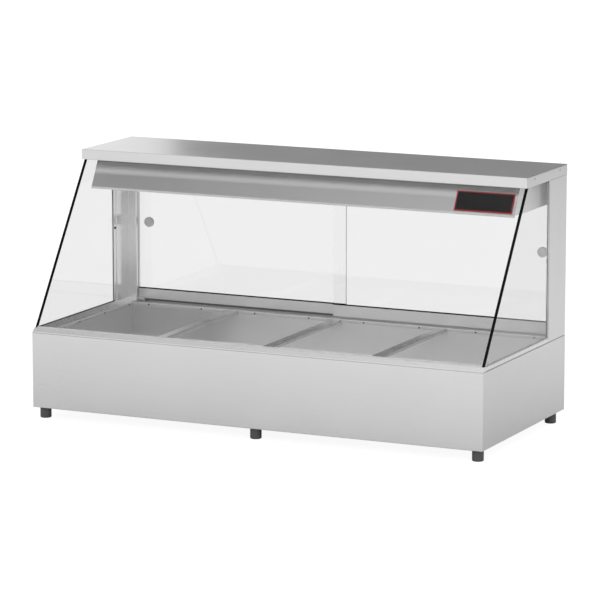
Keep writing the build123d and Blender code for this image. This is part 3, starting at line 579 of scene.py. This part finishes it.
def add_canopy_foam():
    """Pale foam that closes the gap between the cap's front flange and the canopy. Its pale colour stands in for
    light in that shaded gap: painted light.
    """
    low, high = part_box("lamp_canopy")
    cap_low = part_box("top_cap")[0]
    start = (low[0], cap_low[1] + flange_depth, cap_low[2])
    # Pale colour that lifts the shade in the gap: painted light.
    foam = moulded("canopy_foam_painted_light", grey(0.83), roughness=0.9, grains=500, gloss=0.2)
    add_prism("canopy_foam", in_metres(foam_profile), place_of(start, (0, 1, 0), (0, 0, 1)), high[0] - low[0], foam,
              "cabinet")


def add_plate():
    """A bare plate with a coloured border on the canopy's front."""
    shift = (-plate_end_gap - plate_width / 2, plate_lower_gap + plate_height / 2, 0)
    centre = canopy_face() @ Matrix.Translation(shift)
    outer = rounded_outline(plate_width, plate_height, plate_round)
    inner = rounded_outline(plate_width - 2 * plate_border, plate_height - 2 * plate_border, plate_round / 2)
    border = moulded("plate_border_red", (0.42, 0.006, 0.008), roughness=0.45)
    field = moulded("plate_field_black", grey(0.002), roughness=0.3, grains=300, depth=0.000005, gloss=0.2)
    add_prism("bare_plate_border", outer, centre, border_thickness, border, "cabinet")
    add_prism("bare_plate_field", inner, centre, plate_thickness, field, "cabinet")


def add_glazing_strips(rubber):
    """Black strips along the tops of the doors' bottom rails, on both sides of the glass."""
    for side in ("left", "right"):
        shoe_low, shoe_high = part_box(f"{side}_door_shoe")
        glass_low, glass_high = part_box(f"{side}_door_glass")
        runs = {"front": (shoe_low[1], glass_low[1] - touch_gap), "rear": (glass_high[1] + touch_gap, shoe_high[1])}
        for face, (start, end) in runs.items():
            middle = (shoe_low[0], (start + end) / 2, shoe_high[2] + strip_height / 2)
            add_prism(f"{side}_door_{face}_strip", rounded_outline(end - start, strip_height, strip_round),
                      place_of(middle, (0, 1, 0), (0, 0, 1)), shoe_high[0] - shoe_low[0], rubber,
                      f"{side}_door")


def add_ground_edge():
    """The ground edge of the left door's glass, which stands free behind the other door."""
    low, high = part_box("left_door_glass")
    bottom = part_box("left_door_shoe")[1][2] + strip_height + ground_gap
    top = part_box("upper_door_track")[0][2] - ground_gap
    middle = (high[0] + touch_gap + ground_edge / 2, (low[1] + high[1]) / 2, bottom)
    ground = moulded("glass_edge_ground", grey(0.8), roughness=0.6, grains=1500, depth=0.00001)
    add_prism("left_door_ground_edge", rounded_outline(ground_edge, high[1] - low[1], ground_round),
              place_of(middle, (1, 0, 0), (0, 1, 0)), top - bottom, ground, "left_door")


def add_front_fillet(silicone):
    """A clear fillet along the front pane's foot."""
    low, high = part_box("front_sill_gasket")
    add_prism("front_pane_fillet", in_metres(fillet_profile), place_of(low, (0, 1, 0), (0, 0, 1)), high[0] - low[0],
              silicone, "cabinet")


def add_left_bead(rubber):
    """A dark bead inside the left pane's foot, standing in for the shade there: painted shade."""
    low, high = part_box("left_sill_gasket")
    start = low[1] + bead_front_gap
    middle = (high[0] + touch_gap + bead_side / 2, start, low[2] + bead_side / 2)
    add_prism("left_pane_painted_shade", rounded_outline(bead_side, bead_side, bead_round),
              place_of(middle, (0, 0, 1), (1, 0, 0)), high[1] - start, rubber, "cabinet")


def add_rim_edges():
    """A pale, matt rolled edge along the fold round the well, on all four sides: a painted highlight."""
    tank_low, tank_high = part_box("well_tank")
    left, right = tank_low[0] + fold_inset, tank_high[0] - fold_inset
    front, rear = tank_low[1] + fold_inset, tank_high[1] - fold_inset
    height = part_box("lower_door_track")[0][2] - rim_edge / 2 + rim_rise
    # Pale matt steel that stands in for the fold's highlight: painted highlight.
    steel = brushed_metal("rim_edge_painted_highlight", grey(0.95), roughness=0.25, shine=0.1)
    profile = rounded_outline(rim_edge, rim_edge, rim_round)
    shift = rim_edge / 2 - rim_reach
    for name, y in (("front", front - shift), ("rear", rear + shift)):
        add_prism(f"rim_edge_{name}", profile, place_of((left, y, height), (0, 1, 0), (0, 0, 1)), right - left,
                  steel, "cabinet")
    for name, x in (("left", left - shift), ("right", right + shift)):
        add_prism(f"rim_edge_{name}", profile, place_of((x, front, height), (0, 0, 1), (1, 0, 0)), rear - front,
                  steel, "cabinet")


def printed(shape, text, size, thickness, place):
    """Adds a number or sign to a mesh, centred on a place and half sunk into it."""
    curve = bpy.data.curves.new("sign", "FONT")
    curve.body, curve.size, curve.extrude, curve.resolution_u = text, size, thickness / 2, sign_curve_steps
    curve.align_x, curve.align_y = "CENTER", "CENTER"
    holder = bpy.data.objects.new("sign", curve)
    mesh = bpy.data.meshes.new_from_object(holder)
    mesh.transform(place)
    shape.from_mesh(mesh)
    bmesh.ops.remove_doubles(shape, verts=shape.verts, dist=sign_weld)
    bpy.data.objects.remove(holder)
    bpy.data.curves.remove(curve)
    bpy.data.meshes.remove(mesh)


def facing_rear(node, x, z):
    """A place on a node's rear, straight behind a point: X to the left of it, Y up and Z out of the surface."""
    behind = Vector((x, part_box(node)[1][1] + cast_distance, z))
    _, point, normal, _ = nodes[node].ray_cast(behind, Vector((0, -1, 0)))
    return place_of(point, (-1, 0, 0), normal.cross(Vector((-1, 0, 0))))


def add_dial(paint):
    """Ticks and plain numbers round the thermostat's knob, and a pointer on the knob."""
    low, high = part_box("thermostat_knob")
    radius = (high[0] - low[0]) / 2
    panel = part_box("rear_panel")[1][1]
    dial = place_of(((low[0] + high[0]) / 2, panel, (low[2] + high[2]) / 2), (-1, 0, 0), (0, 0, 1))
    turns = [-radians(tick_sweep) * step / (tick_count - 1) for step in range(tick_count)]
    ink = moulded("dial_ink_black", grey(0.02), roughness=0.55)

    def ticks(shape):
        """One short bar for each number."""
        for turn in turns:
            middle = Matrix.Rotation(turn, 4, "Z") @ Matrix.Translation((0, radius + tick_gap + tick_length / 2, 0))
            slab(shape, rounded_outline(tick_width, tick_length, tick_width / 3), dial @ middle, 0.0, mark_rise)

    def numbers(shape):
        """Upright numbers outside the ticks."""
        for number, turn in enumerate(turns):
            middle = Matrix.Rotation(turn, 4, "Z") @ Vector((0, radius + number_gap, 0))
            printed(shape, str(number), number_size, 2 * mark_rise, dial @ Matrix.Translation(middle))

    def pointer(shape):
        """A line on the knob's face and another on its skirt."""
        for start, end in pointer_runs:
            middle = dial @ Vector((0, (start + end) / 2, 0))
            seat = facing_rear("thermostat_knob", middle.x, middle.z)
            outline = rounded_outline(pointer_width, end - start, pointer_width / 3)
            slab(shape, outline, seat, 0.0, mark_rise)

    new_piece("dial_ticks", ticks, ink, "cabinet")
    new_piece("dial_numbers", numbers, ink, "cabinet")
    new_piece("knob_pointer", pointer, paint, "thermostat_knob")


def add_rocker_marks(name, paint):
    """A line and a ring on one switch."""
    low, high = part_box(name)

    def marks(shape):
        """Both signs."""
        for sign, rise in rocker_marks:
            seat = facing_rear(name, (low[0] + high[0]) / 2, (low[2] + high[2]) / 2 + rise)
            printed(shape, sign, rocker_mark_size, rocker_mark_thickness, seat)

    new_piece(f"{name}_marks", marks, paint, name)


def add_floor():
    """A pale floor, white to the eye, that keeps the object's shadow: faint to the eye, deeper in the metal, where
    painted shade near the object and far behind it is added.
    """
    bpy.ops.mesh.primitive_plane_add(size=floor_side, location=(0, 0, 0))
    floor = bpy.context.object
    floor.name = "studio_floor"
    paper = Surface("studio_paper")

    def paint(matt, glow=0.0):
        """Matt paint with a white glow over it."""
        skin = paper.add("BsdfDiffuse", {"Color": matt})
        light = paper.add("Emission", {"Strength": glow})
        return paper.add("AddShader", {0: skin.outputs[0], 1: light.outputs[0]}).outputs[0]

    def split(kind, others, own):
        """One paint for rays of one kind and another for all other rays."""
        return paper.add("MixShader", {0: paper.rays(kind), 1: others, 2: own}).outputs[0]

    high = cad_box[1]
    folded = paper.vector("ABSOLUTE", paper.place)
    beyond = paper.vector("SUBTRACT", folded, (high[0], high[1], 0))
    outside = paper.vector("MAXIMUM", beyond, (0, 0, 0))
    away = paper.add("VectorMath", {0: outside}, operation="LENGTH").outputs["Value"]
    # Painted shade for mirrors: darker near the object and far behind it.
    near = paper.between(away, painted_contact_shade, 1.0, 0.0, contact_reach)
    far = paper.between(paper.part(paper.place, "Y"), 1.0, painted_rear_shade, rear_start, rear_end)
    seen = split("Glossy", paint(opaque(grey(floor_matt))), paint(paper.math("MULTIPLY", near, far)))
    seen = split("Camera", seen, paint(opaque(grey(floor_seen_matt)), floor_seen_glow))
    dimmed = paint(opaque(grey(floor_seen_matt * behind_glass)), floor_seen_glow * behind_glass)
    paper.set(paper.output, {"Surface": split("Transmission", seen, dimmed)})
    floor.data.materials.append(paper.material)


def add_sky():
    """A white background, a little dimmer behind glass, and plain even light for matt surfaces."""
    world = bpy.data.worlds.new("studio")
    bpy.context.scene.world = world
    world.use_nodes = True
    sky = Tree(world.node_tree)
    tone = sky.blend(room_level, white_level, sky.rays("Camera", "Glossy"))
    tone = sky.blend(tone, behind_glass, sky.rays("Transmission"))
    sky.set(sky.tree.nodes["Background"], {"Color": tone})


def add_card(name, place, tilt, size, levels, fades):
    """A grey card outside the picture, for reflections, that the eye sees only through glass.

    The levels are those at its left and right. It fades to white over a share of its size at each rim: left, right,
    lower and upper.
    """
    bpy.ops.mesh.primitive_plane_add(size=1.0, location=place, rotation=(radians(tilt), 0, 0))
    card = bpy.context.object
    card.name = name
    card.scale = (*size, 1.0)
    paint = Surface(name + "_grey")
    spot = paint.add("SeparateXYZ", {"Vector": paint.coordinates["Generated"]}).outputs
    left, right, lower, upper = fades
    keep = 1.0
    for axis, rim, share in (("X", 0, left), ("X", 1, right), ("Y", 0, lower), ("Y", 1, upper)):
        limits = {"Value": spot[axis], "From Min": rim, "From Max": abs(rim - share), "To Min": 0.0, "To Max": 1.0}
        inside = paint.add("MapRange", limits, interpolation_type="SMOOTHSTEP").outputs["Result"]
        keep = paint.math("MULTIPLY", keep, inside)
    level = paint.between(spot["X"], *levels, left, 1.0 - right)
    strength = paint.blend(white_level, level, keep)
    paint.set(paint.output, {"Surface": paint.add("Emission", {"Strength": strength}).outputs[0]})
    card.data.materials.append(paint.material)
    card.visible_camera = card.visible_diffuse = card.visible_shadow = False


def add_softbox(name, place, target, width, height, watts):
    """A soft lamp that looks from its place at a target and that the eye doesn't see."""
    lamp = bpy.data.lights.new(name, "AREA")
    lamp.shape = "RECTANGLE"
    lamp.size, lamp.size_y, lamp.energy = width, height, watts
    softbox = bpy.data.objects.new(name, lamp)
    bpy.context.collection.objects.link(softbox)
    softbox.location = place
    aim = Vector(target) - Vector(place)
    softbox.rotation_euler = aim.to_track_quat("-Z", "Y").to_euler()
    softbox.visible_camera = softbox.visible_transmission = softbox.visible_glossy = False


def add_camera():
    """The photograph's camera."""
    lens_data = bpy.data.cameras.new("photo_camera")
    lens_data.sensor_width = sensor_width
    lens_data.lens = focal_pixels / photo_side * sensor_width
    camera = bpy.data.objects.new("photo_camera", lens_data)
    bpy.context.collection.objects.link(camera)
    camera.location = camera_place
    camera.rotation_euler = (radians(90 - camera_pitch), 0, radians(camera_yaw))
    bpy.context.scene.camera = camera


made = dress_nodes()
add_swell()
add_canopy_foam()
add_plate()
add_glazing_strips(made["black_seal"])
add_ground_edge()
add_front_fillet(made["clear_silicone"])
add_left_bead(made["grey_gasket"])
add_rim_edges()
sign_paint = moulded("sign_paint_white", grey(0.72), roughness=0.5)
add_dial(sign_paint)
for rocker in ("heat_rocker", "lamp_rocker"):
    add_rocker_marks(rocker, sign_paint)
add_floor()
add_sky()
add_card("rear_card", place=(0.75, 2.6, 1.75), tilt=90, size=(5.0, 2.6), levels=(0.17, 0.17),
         fades=(0.01, 0.01, 0.01, 0.01))
add_card("front_card", place=(-1.6, -0.65, 3.2), tilt=0, size=(4.0, 5.7), levels=(0.30, 0.60),
         fades=(0.3, 0.33, 0.2, 0.505))
add_softbox("front_softbox", place=(2.2, -3.8, 2.2), target=(0, 0.2, 0.3), width=3.0, height=1.6, watts=45)
add_softbox("top_softbox", place=(0, 0, 8.0), target=(0, 0, 0), width=14.0, height=14.0, watts=300)
add_camera()
bpy.context.scene.view_settings.view_transform = "Standard"
